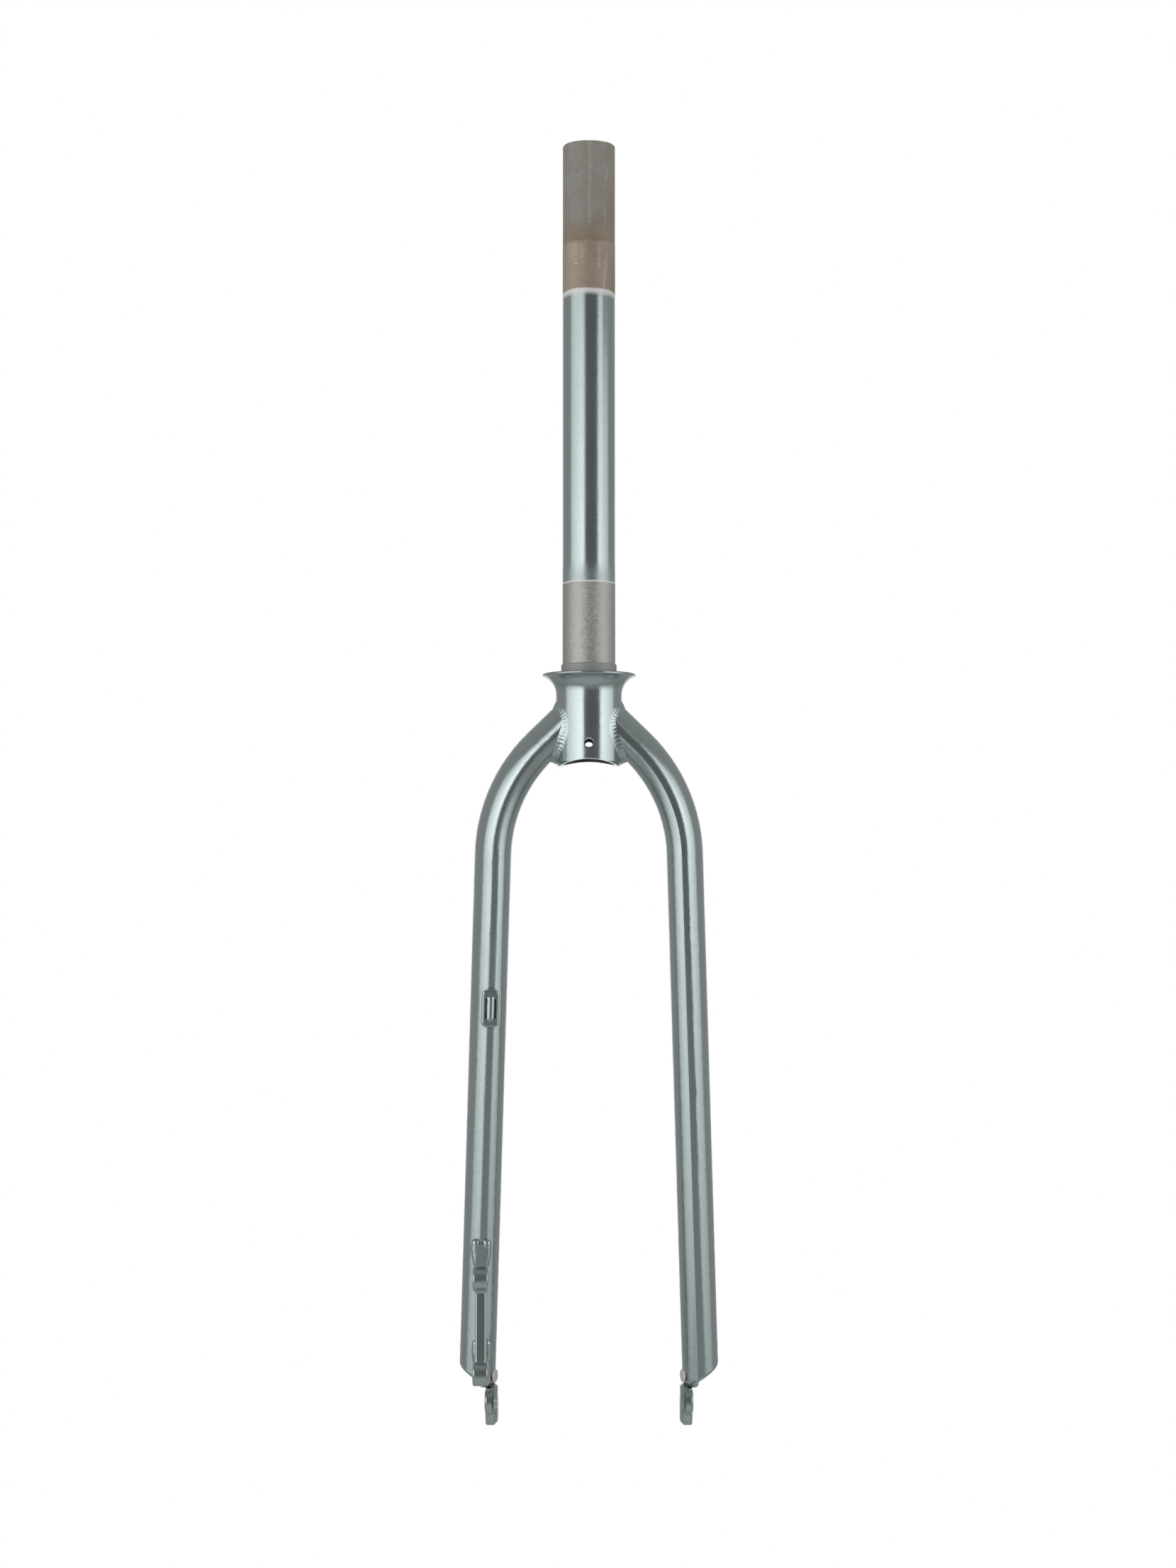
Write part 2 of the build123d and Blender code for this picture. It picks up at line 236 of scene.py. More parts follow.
def makeSilverCoat():
    group, given, result = newGroup(
        "silverCoat", {"Density": paintLook["flakeDensity"], "Lean": paintLook["flakeLean"]},
        {"Colour": "NodeSocketColor", "Rough": "NodeSocketFloat", "Normal": "NodeSocketVector"})
    flakes = placeGroup(group, metalFlakes, Density=given.outputs["Density"], Lean=given.outputs["Lean"])
    clouds = placeGroup(group, finishClouds, Scale=paintLook["cloudScale"])
    glint = mixColour(group, flakes.outputs["Glint"], paintLook["dark"], paintLook["light"])
    shade = mathNode(group, "MULTIPLY", clouds.outputs["Cloud"], paintLook["cloudShare"])
    colour = mixColour(group, shade, glint, paintLook["dark"])
    rough = mixValue(group, clouds.outputs["Cloud"], paintLook["roughLow"], paintLook["roughHigh"])
    group.links.new(colour, result.inputs["Colour"])
    group.links.new(rough, result.inputs["Rough"])
    group.links.new(flakes.outputs["Normal"], result.inputs["Normal"])
    return group


silverCoat = makeSilverCoat()


def placeSilverCoat(tree):
    return placeGroup(tree, silverCoat, Density=paintLook["flakeDensity"], Lean=paintLook["flakeLean"])


def makeSilverPaint():
    material, tree, shader = newMaterial("silverPaint")
    coat = placeSilverCoat(tree)
    # painted shade: ambient occlusion darkens the paint's colour in the corners and slits
    corners = addNode(tree, "ShaderNodeAmbientOcclusion", {"Distance": paintLook["shadeReach"]},
                      samples=paintLook["shadeSamples"])
    openness = ramp(tree, corners.outputs["AO"], *paintLook["shadeRange"])
    feed(tree, shader.inputs["Base Color"],
         mixColour(tree, openness, paintLook["dustAndShade"], coat.outputs["Colour"]))
    feed(tree, shader.inputs["Roughness"], coat.outputs["Rough"])
    feed(tree, shader.inputs["Normal"], coat.outputs["Normal"])
    shader.inputs["Metallic"].default_value = 1.0
    shader.inputs["Coat Weight"].default_value = paintLook["coat"]
    shader.inputs["Coat Roughness"].default_value = paintLook["coatRough"]
    return material


# the steerer and the crown are masked in bands: heights are on the steering axis
bandLook = {
    "seatLow": 0.0003,       # paint below, bare race seat above
    "seatHigh": 0.0051,      # the ground seat ends here
    "seatEdge": 0.0001,
    "paintLow": 0.0494,      # bare steel below, paint above
    "paintLowEdge": 0.00015,
    "dustLow": 0.0524,       # from here the dry spray at the foot of the paint fades
    "dustHigh": 0.0625,      # and here it ends
    "paintHigh": 0.2074,     # paint below, bare turned steel above
    "paintHighEdge": 0.0004,
    "threadLow": 0.234,
    "threadEdge": 0.0005,
    "brownFade": 0.016,      # the brown of the plain steel fades out this far up the thread
    "wander": 0.0016,        # how far the hand masked edges stray
    "strayScale": 60.0,
    "strayDetail": 3.0,
    "bow": 0.0015,           # the upper edge is this much higher at the rear
    "tubeRadius": 0.0143,
    "lineWidth": 0.0008,     # pale lip of paint at the lower edge
    "hazeWidth": 0.0042,     # pale overspray under the upper edge
    "hazeFull": 0.0010,      # it is full this far under the edge
    "hazeOver": 0.0006,      # and reaches this far over it
    "boreRadius": 0.0141,
    "boreStep": 0.0010,      # the bore is this much narrower above the seat
    "boreEdge": 0.0002,
    "bareSteel": (0.61, 0.605, 0.585, 1.0),
    "bareDark": (0.49, 0.485, 0.465, 1.0),
    "seatSteel": (0.50, 0.505, 0.50, 1.0),
    "brownSteel": (0.63, 0.55, 0.46, 1.0),
    "brownDark": (0.52, 0.43, 0.345, 1.0),
    "threadSteel": (0.615, 0.615, 0.585, 1.0),
    "drip": (0.72, 0.70, 0.65, 1.0),
    "boreSteel": (0.16, 0.155, 0.15, 1.0),
    "haze": (0.97, 0.97, 0.97, 1.0),
    "cloudScale": 35.0,
    "speckScale": 1100.0,
    "stain": 0.6,            # how brown the clouds make the thread
    "spotScale": 420.0,      # specks of spray on the upper steel
    "spotDetail": 1.5,
    "spotRange": (0.69, 0.74),
    "dripScale": 330.0,      # dried drips down the upper steel
    "dripDetail": 1.0,
    "dripStretch": (1.0, 1.0, 0.12),
    "dripRange": (0.655, 0.70),
    "grainDensity": 2600.0,
    "grainLean": 0.24,
    "bareRoughLow": 0.48,
    "bareRoughHigh": 0.62,
    "mattRough": 0.68,       # the seat and the steel above the paint
    "sprayRough": 0.40,
    "paleRough": 0.55,
    "paleDulling": 0.8,      # how far the overspray hides the metal
}


def makeBandMasks(tree, vector):
    look = bandLook
    axes = addNode(tree, "ShaderNodeSeparateXYZ")
    tree.links.new(vector, axes.inputs["Vector"])
    height = axes.outputs["Z"]

    # the masked edges wander a little round the tube, and the upper one is bowed
    stray = mathNode(tree, "SUBTRACT", noiseAt(tree, vector, look["strayScale"], look["strayDetail"]), 0.5)
    strayed = mathNode(tree, "ADD", height, mathNode(tree, "MULTIPLY", stray, look["wander"]))
    bow = mathNode(tree, "MULTIPLY", axes.outputs["Y"], look["bow"] / look["tubeRadius"])
    bowed = mathNode(tree, "ADD", strayed, bow)

    def stepAt(value, middle, edge):
        return ramp(tree, value, middle - edge, middle + edge)

    low, high = look["paintLow"], look["paintHigh"]
    aboveSeat = stepAt(height, look["seatLow"], look["seatEdge"])
    aboveLow = stepAt(strayed, low, look["paintLowEdge"])
    aboveHigh = stepAt(bowed, high, look["paintHighEdge"])
    aboveGround = stepAt(height, look["seatHigh"], look["seatEdge"])
    belowBand = mathNode(tree, "SUBTRACT", 1.0, aboveSeat)
    inBand = mathNode(tree, "SUBTRACT", aboveLow, aboveHigh)

    # pale lip at the lower edge, pale overspray under the upper edge
    lineUp = ramp(tree, strayed, low - look["lineWidth"], low)
    lineDown = ramp(tree, strayed, low, low + look["lineWidth"], 1.0, 0.0)
    hazeUp = ramp(tree, bowed, high - look["hazeWidth"], high - look["hazeFull"])
    hazeDown = ramp(tree, bowed, high - look["paintHighEdge"], high + look["hazeOver"], 1.0, 0.0)
    line = mathNode(tree, "MULTIPLY", lineUp, lineDown)
    haze = mathNode(tree, "MULTIPLY", hazeUp, hazeDown)

    # inside the tube
    across = addNode(tree, "ShaderNodeCombineXYZ")
    tree.links.new(axes.outputs["X"], across.inputs["X"])
    tree.links.new(axes.outputs["Y"], across.inputs["Y"])
    radius = addNode(tree, "ShaderNodeVectorMath", operation="LENGTH")
    tree.links.new(across.outputs["Vector"], radius.inputs[0])
    narrower = mathNode(tree, "MULTIPLY", aboveSeat, look["boreStep"])
    reach = mathNode(tree, "ADD", radius.outputs["Value"], narrower)

    threadLow = look["threadLow"]
    return {
        "belowBand": belowBand,
        "painted": mathNode(tree, "MAXIMUM", belowBand, inBand),
        "aboveHigh": aboveHigh,
        "inSeat": mathNode(tree, "SUBTRACT", 1.0, aboveGround),
        "inThread": ramp(tree, height, threadLow - look["threadEdge"], threadLow + look["brownFade"]),
        "pale": mathNode(tree, "MAXIMUM", line, haze),
        "bore": ramp(tree, reach, look["boreRadius"] - look["boreEdge"], look["boreRadius"], 1.0, 0.0),
        "dustAndShade": ramp(tree, strayed, look["dustLow"], look["dustHigh"], 1.0, 0.0),
    }


def bareSteelColour(tree, vector, clouds, masks):
    look = bandLook
    cloud, speck = clouds.outputs["Cloud"], clouds.outputs["Speck"]
    grey = mixColour(tree, speck, look["bareDark"], look["bareSteel"])
    lower = mixColour(tree, masks["inSeat"], grey, look["seatSteel"])

    # brown above the paint, fading into the stained grey of the thread
    brown = mixColour(tree, cloud, look["brownDark"], look["brownSteel"])
    stain = mathNode(tree, "MULTIPLY", cloud, look["stain"])
    threadGrey = mixColour(tree, stain, look["threadSteel"], look["brownDark"])
    upper = mixColour(tree, masks["inThread"], brown, threadGrey)

    # specks of spray and dried, broken drips on the upper steel
    spots = noiseAt(tree, vector, look["spotScale"], look["spotDetail"])
    specks = ramp(tree, spots, *look["spotRange"])
    drawn = addNode(tree, "ShaderNodeMapping", {"Scale": look["dripStretch"]})
    tree.links.new(vector, drawn.inputs["Vector"])
    runs = noiseAt(tree, drawn.outputs["Vector"], look["dripScale"], look["dripDetail"])
    streaks = ramp(tree, runs, *look["dripRange"])
    broken = mathNode(tree, "MULTIPLY", streaks, speck)
    upper = mixColour(tree, mathNode(tree, "MAXIMUM", specks, broken), upper, look["drip"])
    return mixColour(tree, masks["aboveHigh"], lower, upper)


def makeBandedSteel():
    look = bandLook
    material, tree, shader = newMaterial("bandedSteel")
    vector = addNode(tree, "ShaderNodeTexCoord").outputs["Object"]
    masks = makeBandMasks(tree, vector)
    painted, pale, bore = masks["painted"], masks["pale"], masks["bore"]
    coat = placeSilverCoat(tree)
    clouds = placeGroup(tree, finishClouds, Scale=look["cloudScale"], Specks=look["speckScale"])

    colour = mixColour(tree, painted, bareSteelColour(tree, vector, clouds, masks), coat.outputs["Colour"])
    colour = mixColour(tree, pale, colour, look["haze"])
    colour = mixColour(tree, bore, colour, look["boreSteel"])

    # turned and ground steel is matt, and so is the dry spray at the foot of the paint
    bareRough = mixValue(tree, clouds.outputs["Speck"], look["bareRoughLow"], look["bareRoughHigh"])
    matt = mathNode(tree, "MAXIMUM", masks["aboveHigh"], masks["inSeat"])
    bareRough = mixValue(tree, matt, bareRough, look["mattRough"])
    sprayRough = mixValue(tree, masks["dustAndShade"], coat.outputs["Rough"], look["sprayRough"])
    sprayRough = mixValue(tree, masks["belowBand"], sprayRough, coat.outputs["Rough"])
    rough = mixValue(tree, painted, bareRough, sprayRough)
    rough = mixValue(tree, mathNode(tree, "MAXIMUM", pale, bore), rough, look["paleRough"])

    # the bare steel has an open grain
    grain = placeGroup(tree, metalFlakes, Density=look["grainDensity"], Lean=look["grainLean"])
    facing = mixVector(tree, painted, grain.outputs["Normal"], coat.outputs["Normal"])
    dulled = mathNode(tree, "MULTIPLY", pale, look["paleDulling"])
    feed(tree, shader.inputs["Base Color"], colour)
    feed(tree, shader.inputs["Roughness"], rough)
    feed(tree, shader.inputs["Metallic"], mathNode(tree, "SUBTRACT", 1.0, dulled))
    feed(tree, shader.inputs["Coat Weight"], mathNode(tree, "MULTIPLY", painted, paintLook["coat"]))
    feed(tree, shader.inputs["Normal"], facing)
    shader.inputs["Coat Roughness"].default_value = paintLook["coatRough"]
    return material


# ground bare metal of the plug welds
plugLook = {
    "light": (0.92, 0.90, 0.87, 1.0),
    "dark": (0.72, 0.70, 0.67, 1.0),
    "grainDensity": 2200.0,
    "grainLean": 0.25,
    "cloudScale": 300.0,
    "speckScale": 2400.0,
    "roughLow": 0.35,
    "roughHigh": 0.5,
    "metallic": 0.5,         # ground white, with a dusty face
}


def makeGroundSteel():
    look = plugLook
    material, tree, shader = newMaterial("groundSteel")
    grain = placeGroup(tree, metalFlakes, Density=look["grainDensity"], Lean=look["grainLean"])
    clouds = placeGroup(tree, finishClouds, Scale=look["cloudScale"], Specks=look["speckScale"])
    colour = mixColour(tree, clouds.outputs["Speck"], look["dark"], look["light"])
    rough = mixValue(tree, clouds.outputs["Cloud"], look["roughLow"], look["roughHigh"])
    feed(tree, shader.inputs["Base Color"], colour)
    feed(tree, shader.inputs["Roughness"], rough)
    feed(tree, shader.inputs["Normal"], grain.outputs["Normal"])
    shader.inputs["Metallic"].default_value = look["metallic"]
    return material


silverPaint = makeSilverPaint()
bandedSteel = makeBandedSteel()
groundSteel = makeGroundSteel()
print("finishes made")

mergeDistance = 1e-7         # points closer than this are one point


# meshes
def addPiece(name, build, material, replaced, sharpAngle):
    bmesh.ops.remove_doubles(build, verts=build.verts, dist=mergeDistance)
    bmesh.ops.recalc_face_normals(build, faces=build.faces)
    mesh = bpy.data.meshes.new(name)
    build.to_mesh(mesh)
    build.free()
    mesh.polygons.foreach_set("use_smooth", [True] * len(mesh.polygons))
    mesh.set_sharp_from_angle(angle=math.radians(sharpAngle))
    mesh.materials.append(material)
    piece = bpy.data.objects.new(name, mesh)
    bpy.context.scene.collection.objects.link(piece)
    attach(piece, "root")
    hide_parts(replaced)
    print("made", name, "with", len(mesh.polygons), "faces")


def joinRows(build, rows, closed):
    # a skin over rings of points that lie one after another
    count = len(rows)
    for n in range(count if closed else count - 1):
        here, after = rows[n], rows[(n + 1) % count]
        for c in range(len(here)):
            beside = (c + 1) % len(here)
            build.faces.new((here[c], here[beside], after[beside], after[c]))


# the steerer with its real thread, 26 turns to the inch
steererLook = {
    "pitch": 0.0254 / 26,
    "threadDepth": 0.00052,
    "threadLow": bandLook["threadLow"],
    "runOut": 0.0015,        # height over which the thread fades in
    "crestFlat": 0.16,       # share of the half turn that is flat, at the crest and at the root
    "wall": 0.0016,
    "chamfer": 0.0008,
    "spigotStep": 0.0004,
    "shoulder": 0.0052,
    "keyWidth": 0.0028,
    "keyDepth": 0.0009,
    "keyLength": 0.046,
    "columns": 96,
    "rowsPerTurn": 6,
    "sharpAngle": 30.0,
}


def threadDip(turns):
    # 0 on the crest and 1 in the root, with short flats on both
    share = turns - math.floor(turns)
    slope = 2 * abs(share - 0.5)
    flat = steererLook["crestFlat"]
    return min(max((slope - flat) / (1 - 2 * flat), 0.0), 1.0)


def makeSteerer():
    look = steererLook
    lowCorner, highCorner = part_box("steerer_tube")
    radius, top, low = highCorner.x, highCorner.z, lowCorner.z
    keyFloor = radius - look["keyDepth"]
    keyTurn = math.asin(look["keyWidth"] / 2 / radius)
    keyLow = top - look["keyLength"]
    rear = 1.5 * math.pi

    # one column for each angle, and two at each side of the keyway for its upright walls
    columns = [(rear + side * keyTurn, inKey) for side in (-1, 1) for inKey in (False, True)]
    for k in range(look["columns"]):
        angle = 2 * math.pi * k / look["columns"]
        columns.append((angle, abs(angle - rear) < keyTurn))
    columns.sort(key=lambda column: (column[0], column[1] if column[0] < rear else not column[1]))

    def outerRadius(height, angle, inKey, turns):
        depth = look["threadDepth"] * min(max((height - look["threadLow"]) / look["runOut"], 0.0), 1.0)
        found = radius - depth * threadDip(turns)
        found = min(found, radius - max(0.0, height - (top - look["chamfer"])))
        if inKey and height > keyLow:
            found = min(found, keyFloor / math.cos(angle - rear))
        return found

    build = bmesh.new()
    rows = []

    def pointAt(ringRadius, angle, height):
        return build.verts.new((ringRadius * math.cos(angle), ringRadius * math.sin(angle), height))

    def addRing(ringRadius, height):
        rows.append([pointAt(ringRadius, angle, height) for angle, inKey in columns])

    addRing(radius - look["wall"], low)
    addRing(radius - look["spigotStep"], low)
    addRing(radius - look["spigotStep"], look["shoulder"])
    addRing(radius, look["shoulder"])
    addRing(radius, look["threadLow"])
    firstTurn = len(rows)
    perTurn = look["rowsPerTurn"]
    turnCount = math.ceil((top - look["threadLow"]) / look["pitch"])
    for k in range(-perTurn, perTurn * turnCount + 1):
        row = []
        for angle, inKey in columns:
            turns = k / perTurn + angle / (2 * math.pi)
            height = look["threadLow"] + turns * look["pitch"]
            height = min(max(height, look["threadLow"]), top)
            row.append(pointAt(outerRadius(height, angle, inKey, k / perTurn), angle, height))
        rows.append(row)
    lastTurn = len(rows)
    addRing(radius - look["wall"], top)

    # in the thread a row's end meets the start of the row one turn further up
    count = len(columns)
    for r in range(len(rows)):
        upper = (r + 1) % len(rows)
        threaded = firstTurn <= r < lastTurn - 1
        for c in range(count):
            beside = (c + 1) % count
            step = perTurn if threaded and beside == 0 else 0
            nearRow = min(r + step, lastTurn - 1) if threaded else r
            farRow = min(upper + step, lastTurn - 1) if threaded else upper
            corners = (rows[r][c], rows[nearRow][beside], rows[farRow][beside], rows[upper][c])
            if len(set(corners)) == len(corners):
                build.faces.new(corners)
    addPiece("threadedSteerer", build, bandedSteel, "steerer_tube", look["sharpAngle"])


makeSteerer()


def surfaceOf(name):
    # a solid's skin, to set other pieces on
    solid = nodes[name]
    corners = [solid.matrix_world @ v.co for v in solid.data.vertices]
    return BVHTree.FromPolygons(corners, [list(p.vertices) for p in solid.data.polygons])


# where the blades stand, as in the solids
bladeLine = {
    "rootDrop": 0.0137,
    "rootAngle": 46.0,
    "rake": 0.045,
    "axleDrop": 0.398,
    "halfWidth": 0.010,
    "halfDepth": 0.0145,
    "toe": 8.0,
    "neckRadius": 0.0179,
}
# the bead between crown and blade: a flat fillet whose face is laid in overlapping crescents
crownBead = {
    "pitch": 0.0020,
    "leg": 0.0031,           # reach of the fillet on the neck and on the blade
    "fill": 0.45,            # how much further it reaches in the narrow corner under the blade
    "tooth": 0.10,           # how far its edges follow the crescents
    "swell": -0.00020,       # its face is a little hollow
    "ripple": 0.00016,
    "ripplePlain": 0.5,      # the ripples' share that is always there
    "rippleGain": 1.2,       # and the share that comes and goes
    "rippleScale": 140.0,
    "uneven": 0.30,          # how far the crescents stray from an even spacing
    "unevenScale": 260.0,
    "calm": 1.3,             # how fast the crescents fade in the narrow corner
    "ridgeMean": 0.5,
    "bow": 0.9,
    "sunk": 0.00012,         # depth of its edges below the two surfaces
    "rootShare": 0.4,        # depth of its hidden root, as a share of the leg
    "across": 10,
    "rowsPerRipple": 9,
    "seamSteps": 1440,
    "sharpAngle": 55.0,
}


def crownSeam(side):
    # the line where the oval blade meets the round neck, with both surfaces' normals
    line = bladeLine
    turned = math.radians(line["rootAngle"])
    toe = math.radians(line["toe"])
    tilt = math.atan2(line["rake"], line["axleDrop"] - line["rootDrop"])
    tip = Matrix.Rotation(tilt, 3, "X")
    along = tip @ Vector((side * math.sin(turned), 0, -math.cos(turned)))

    def fromOval(outward, rearward):
        wide = outward * math.cos(toe) - rearward * math.sin(toe)
        deep = outward * math.sin(toe) + rearward * math.cos(toe)
        return tip @ Vector((side * math.cos(turned) * wide, -deep, math.sin(turned) * wide))

    seam = []
    for k in range(crownBead["seamSteps"]):
        turn = 2 * math.pi * k / crownBead["seamSteps"]
        start = fromOval(line["halfWidth"] * math.cos(turn), line["halfDepth"] * math.sin(turn))
        start.z -= line["rootDrop"]
        bladeNormal = fromOval(math.cos(turn) / line["halfWidth"], math.sin(turn) / line["halfDepth"])
        square = along.x ** 2 + along.y ** 2
        half = start.x * along.x + start.y * along.y
        rest = start.x ** 2 + start.y ** 2 - line["neckRadius"] ** 2
        reach = (math.sqrt(half ** 2 - square * rest) - half) / square
        point = start + along * reach
        neckNormal = Vector((point.x, point.y, 0)).normalized()
        seam.append((point, neckNormal, bladeNormal.normalized()))
    return seam


def filletRow(build, skin, corner, neckNormal, bladeNormal, along, ripplesPassed):
    # one cut through the bead, at a corner between neck and blade
    look = crownBead
    overNeck = along.cross(neckNormal).normalized()
    overNeck = overNeck if overNeck.dot(bladeNormal) > 0 else -overNeck
    overBlade = along.cross(bladeNormal).normalized()
    overBlade = overBlade if overBlade.dot(neckNormal) > 0 else -overBlade
    outward = (neckNormal + bladeNormal).normalized()
    narrow = max(0.0, overNeck.dot(overBlade))
    leg = look["leg"] * (1 + look["fill"] * narrow)
    calm = max(0.0, 1 - look["calm"] * narrow)
    tooth = look["tooth"] * calm
    swing = look["ripplePlain"] + look["rippleGain"] * abs(noise.noise(corner * look["rippleScale"]))
    relief = look["ripple"] * calm * swing
    phase = ripplesPassed + look["uneven"] * noise.noise(corner * look["unevenScale"])

    def ridge(share):
        bowed = phase - look["bow"] * (1 - (2 * share - 1) ** 2)
        return abs(math.sin(math.pi * bowed)) - look["ridgeMean"]

    neckFoot = corner + overNeck * leg * (1 + tooth * ridge(0))
    onNeck = Vector((neckFoot.x, neckFoot.y, 0)).normalized() * (bladeLine["neckRadius"] - look["sunk"])
    neckFoot = Vector((onNeck.x, onNeck.y, neckFoot.z))
    bladeFoot = corner + overBlade * leg * (1 + tooth * ridge(1))
    bladeFoot = skin.find_nearest(bladeFoot)[0] - bladeNormal * look["sunk"]
    row = [build.verts.new(corner - outward * look["leg"] * look["rootShare"])]
    for c in range(look["across"] + 1):
        share = c / look["across"]
        arch = 4 * share * (1 - share)
        lift = look["swell"] * arch + relief * ridge(share) * math.sqrt(arch)
        row.append(build.verts.new(neckFoot.lerp(bladeFoot, share) + outward * lift))
    return row


def makeCrownBead(side, word):
    seam = crownSeam(side)
    skin = surfaceOf(word + "_blade")
    build = bmesh.new()
    # even steps along the closed seam, so that whole crescents fit round it
    lengths = [0.0]
    for k in range(len(seam)):
        lengths.append(lengths[-1] + (seam[(k + 1) % len(seam)][0] - seam[k][0]).length)
    ripples = round(lengths[-1] / crownBead["pitch"])
    count = ripples * crownBead["rowsPerRipple"]
    rows = []
    k = 0
    for n in range(count):
        run = lengths[-1] * n / count
        while lengths[k + 1] < run:
            k += 1
        share = (run - lengths[k]) / (lengths[k + 1] - lengths[k])
        here, after = seam[k], seam[(k + 1) % len(seam)]
        corner, neckNormal, bladeNormal = [a.lerp(b, share) for a, b in zip(here, after)]
        along = (after[0] - here[0]).normalized()
        rows.append(filletRow(build, skin, corner, neckNormal, bladeNormal, along, ripples * n / count))
    joinRows(build, rows, True)
    addPiece(word + "CrownBead", build, silverPaint, word + "_crown_weld",
             crownBead["sharpAngle"])


makeCrownBead(1, "right")
makeCrownBead(-1, "left")

# the beads at both sides of the disc mount's feet, joined over the top into a heart
footBead = {
    "middle": -0.0586,
    "pitch": 0.0023,
    "width": 0.0024,
    "height": 0.0022,
    "lift": 0.0004,
    "ripple": 0.008,
    "ridgeMean": 0.6,
    "bow": 0.6,
    "taper": 0.0026,
    "endSize": 0.02,         # square of the ends' size
    "ring": 18,
    "stepsPerRipple": 8,
    "stepsPerStop": 12,
    "behind": -0.2,          # the path is cast on the blade from here
    "sharpAngle": 40.0,
    # stops of each arm: distance from the middle, and height
    "upper": ((0.0014, -0.3222), (0.0024, -0.3175), (0.0031, -0.3120),
              (0.0029, -0.3084), (0.0015, -0.3064)),
    "lower": ((0.0014, -0.3785), (0.0024, -0.3735), (0.0030, -0.3680),
              (0.0028, -0.3636), (0.0015, -0.3614)),
}


def footSeam(skin, side, stops):
    # the bead's path over the blade, as seen from the rear
    points, outwards = [], []
    for (nearAside, nearHeight), (farAside, farHeight) in zip(stops, stops[1:]):
        for n in range(footBead["stepsPerStop"]):
            share = n / footBead["stepsPerStop"]
            aside = nearAside + (farAside - nearAside) * share
            height = nearHeight + (farHeight - nearHeight) * share
            start = Vector((footBead["middle"] + side * aside, footBead["behind"], height))
            spot, normal = skin.ray_cast(start, Vector((0, 1, 0)))[:2]
            points.append(spot)
            outwards.append(normal)
    return points, outwards


def evenPath(points, outwards, step):
    # the same path at even steps along its length
    lengths = [0.0]
    for k in range(1, len(points)):
        lengths.append(lengths[-1] + (points[k] - points[k - 1]).length)
    count = round(lengths[-1] / step)
    places, facing, runs = [], [], []
    k = 0
    for n in range(count + 1):
        run = lengths[-1] * n / count
        while k < len(lengths) - 2 and lengths[k + 1] < run:
            k += 1
        share = (run - lengths[k]) / (lengths[k + 1] - lengths[k])
        places.append(points[k].lerp(points[k + 1], share))
        facing.append(outwards[k].lerp(outwards[k + 1], share).normalized())
        runs.append(run)
    return places, facing, runs


def addFootArm(build, points, outwards):
    # a round bar along the path, with the ripples that the torch leaves
    look = footBead
    places, facing, runs = evenPath(points, outwards, look["pitch"] / look["stepsPerRipple"])
    total, last = runs[-1], len(places) - 1
    ripples = round(total / look["pitch"])
    rows = []
    for n, place in enumerate(places):
        along = (places[min(n + 1, last)] - places[max(n - 1, 0)]).normalized()
        outward = (facing[n] - along * facing[n].dot(along)).normalized()
        across = along.cross(outward)
        fromEnd = min(runs[n], total - runs[n]) / look["taper"]
        fade = math.sqrt(max(look["endSize"], 1 - max(0.0, 1 - fromEnd) ** 2))
        row = []
        for c in range(look["ring"]):
            turn = 2 * math.pi * c / look["ring"]
            phase = ripples * runs[n] / total + look["bow"] * math.cos(turn)
            size = fade * (1 + look["ripple"] * (abs(math.sin(math.pi * phase)) - look["ridgeMean"]))
            height = look["lift"] + look["height"] * size * math.cos(turn)
            width = look["width"] * size * math.sin(turn)
            row.append(build.verts.new(place + outward * height + across * width))
        rows.append(row)
    joinRows(build, rows, False)
    build.faces.new(rows[0])
    build.faces.new(rows[-1])


def makeFootBead(word):
    skin = surfaceOf("left_blade")
    build = bmesh.new()
    for side in (1, -1):
        addFootArm(build, *footSeam(skin, side, footBead[word]))
    addPiece(word + "FootBead", build, silverPaint, "disc_mount_" + word + "_weld",
             footBead["sharpAngle"])


makeFootBead("upper")
makeFootBead("lower")

# finishes of the solids
for name, node in nodes.items():
    if name.endswith("plug_weld"):
        finish = groundSteel
    elif name in ("fork_crown", "steerer_tube"):
        finish = bandedSteel
    else:
        finish = silverPaint
    node.data.materials.clear()
    node.data.materials.append(finish)
print("finishes set on the solids")

# floor, lamps, surroundings and camera
stageLook = {
    "floorRadius": 4.2,      # the picture's lower edge looks past its rim to the white backdrop
    "floorSegments": 96,
    "floorDrop": 0.85,       # the fork hangs this far above the floor
    "floorColour": (0.90, 0.90, 0.90, 1.0),
    "floorRough": 0.9,
}


def makeFloor():
    material, tree, shader = newMaterial("paleFloor")
    shader.inputs["Base Color"].default_value = stageLook["floorColour"]
    shader.inputs["Roughness"].default_value = stageLook["floorRough"]
    shader.inputs["Specular IOR Level"].default_value = 0.0
    build = bmesh.new()
    bmesh.ops.create_circle(build, cap_ends=True, segments=stageLook["floorSegments"],
                            radius=stageLook["floorRadius"])
    mesh = bpy.data.meshes.new("paleFloor")
    build.to_mesh(mesh)
    build.free()
    mesh.materials.append(material)
    floor = bpy.data.objects.new("paleFloor", mesh)
    floor.location.z = cadBox[0].z - stageLook["floorDrop"]
    bpy.context.scene.collection.objects.link(floor)


makeFloor()

# two soft boxes beside the camera, brightest at their inner edge and at the height of the race seat
lampLook = {
    "left": {"turn": -51.5, "low": -0.85, "high": 0.66, "width": 1.66, "radiance": 1.74, "lowShare": 0.42},
    "right": {"turn": 66.5, "low": -0.85, "high": 0.62, "width": 1.32, "radiance": 1.50, "lowShare": 0.28},
    "away": 1.3,
    "outerShare": 0.44,      # brightness at the outer edge
    "highShare": 0.68,       # and at the top
}


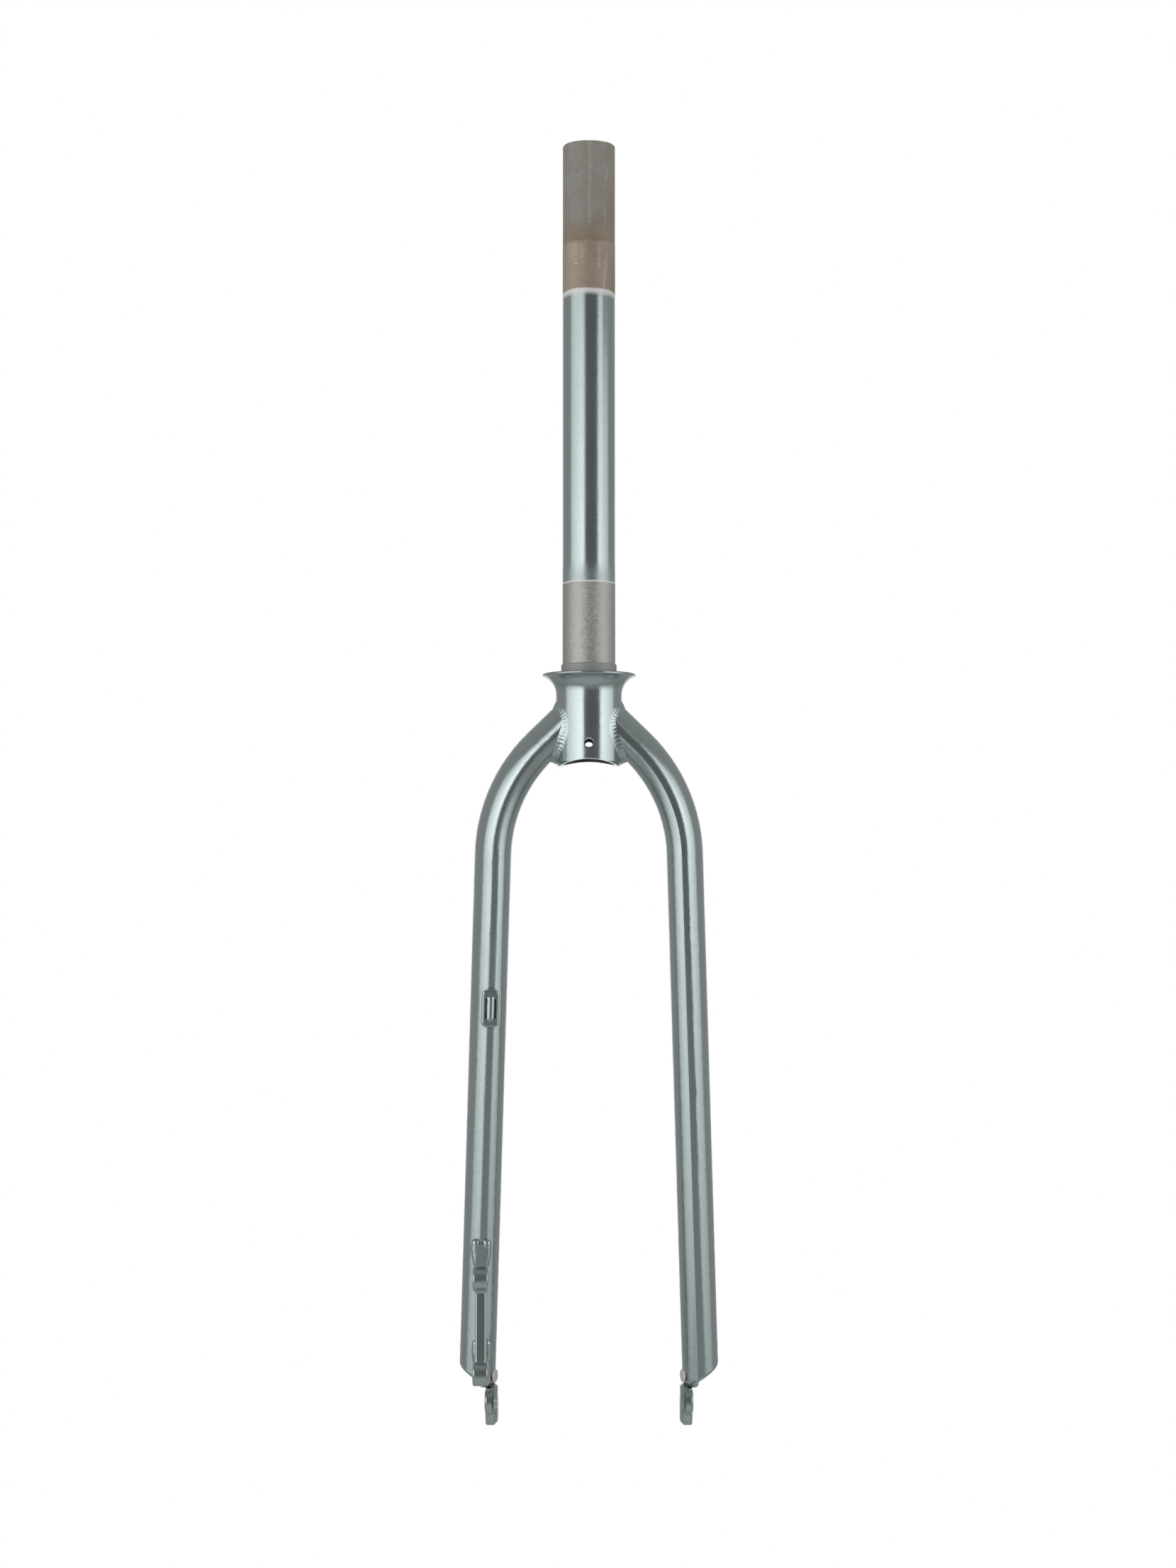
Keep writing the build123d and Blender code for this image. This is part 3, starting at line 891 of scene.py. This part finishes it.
def addLamp(name, look):
    turn = math.radians(look["turn"])
    tall = look["high"] - look["low"]
    middle = (look["high"] + look["low"]) / 2
    away = lampLook["away"]
    place = Vector((away * math.sin(turn), -away * math.cos(turn), middle))
    lamp = bpy.data.lights.new(name, "AREA")
    lamp.shape = "RECTANGLE"
    lamp.size = look["width"]
    lamp.size_y = tall
    lamp.energy = look["radiance"] * math.pi * look["width"] * tall
    lamp.use_nodes = True
    tree = lamp.node_tree
    tree.nodes.clear()
    output = addNode(tree, "ShaderNodeOutputLight")
    glow = addNode(tree, "ShaderNodeEmission")
    spot = addNode(tree, "ShaderNodeTexCoord")
    axes = addNode(tree, "ShaderNodeSeparateXYZ")
    tree.links.new(spot.outputs["Object"], axes.inputs["Vector"])
    inwards = mathNode(tree, "MULTIPLY", axes.outputs["X"], 1.0 if look["turn"] < 0 else -1.0)
    sideways = ramp(tree, inwards, -look["width"] / 2, look["width"] / 2, lampLook["outerShare"], 1.0)
    below = ramp(tree, axes.outputs["Y"], look["low"] - middle, -middle, look["lowShare"], 1.0)
    above = ramp(tree, axes.outputs["Y"], -middle, look["high"] - middle, 1.0, lampLook["highShare"])
    upright = mathNode(tree, "MULTIPLY", below, above)
    feed(tree, glow.inputs["Strength"], mathNode(tree, "MULTIPLY", sideways, upright))
    tree.links.new(glow.outputs["Emission"], output.inputs["Surface"])
    holder = bpy.data.objects.new(name, lamp)
    holder.location = place
    holder.rotation_euler = Vector((-place.x, -place.y, 0)).to_track_quat("-Z", "Y").to_euler()
    holder.visible_camera = False
    bpy.context.scene.collection.objects.link(holder)


addLamp("leftSoftbox", lampLook["left"])
addLamp("rightSoftbox", lampLook["right"])

# brightness of the room by direction: dark behind the camera, grey at the sides, white backdrop
roomLook = ((0.0, 0.15), (0.08, 0.15), (0.20, 0.26), (0.50, 0.34), (0.95, 0.34), (0.969, 1.0), (1.0, 1.0))


def makeRoom():
    world = bpy.data.worlds.new("studioRoom")
    world.use_nodes = True
    tree = world.node_tree
    tree.nodes.clear()
    output = addNode(tree, "ShaderNodeOutputWorld")
    glow = addNode(tree, "ShaderNodeBackground")
    place = addNode(tree, "ShaderNodeTexCoord")
    axes = addNode(tree, "ShaderNodeSeparateXYZ")
    tree.links.new(place.outputs["Generated"], axes.inputs["Vector"])
    ahead = addNode(tree, "ShaderNodeMapRange", {"From Min": -1.0, "From Max": 1.0})
    tree.links.new(axes.outputs["Y"], ahead.inputs["Value"])
    shades = addNode(tree, "ShaderNodeValToRGB")
    stops = shades.color_ramp.elements
    while len(stops) < len(roomLook):
        stops.new(0.5)
    for stop, (position, shade) in zip(stops, roomLook):
        stop.position = position
        stop.color = (shade, shade, shade, 1.0)
    tree.links.new(ahead.outputs["Result"], shades.inputs["Fac"])
    tree.links.new(shades.outputs["Color"], glow.inputs["Color"])
    tree.links.new(glow.outputs["Background"], output.inputs["Surface"])
    bpy.context.scene.world = world


makeRoom()

cameraLook = {"place": (-0.0005, -1.8398, -0.1625), "tiltUp": 3.2, "lens": 78.12, "film": 36.0}


def makeCamera():
    data = bpy.data.cameras.new("photoCamera")
    data.lens = cameraLook["lens"]
    data.sensor_width = cameraLook["film"]
    camera = bpy.data.objects.new("photoCamera", data)
    camera.location = cameraLook["place"]
    camera.rotation_euler = (math.radians(90 + cameraLook["tiltUp"]), 0, 0)
    bpy.context.scene.collection.objects.link(camera)
    bpy.context.scene.camera = camera


makeCamera()
bpy.context.scene.view_settings.view_transform = "Standard"
print("stage, lamps and camera set")
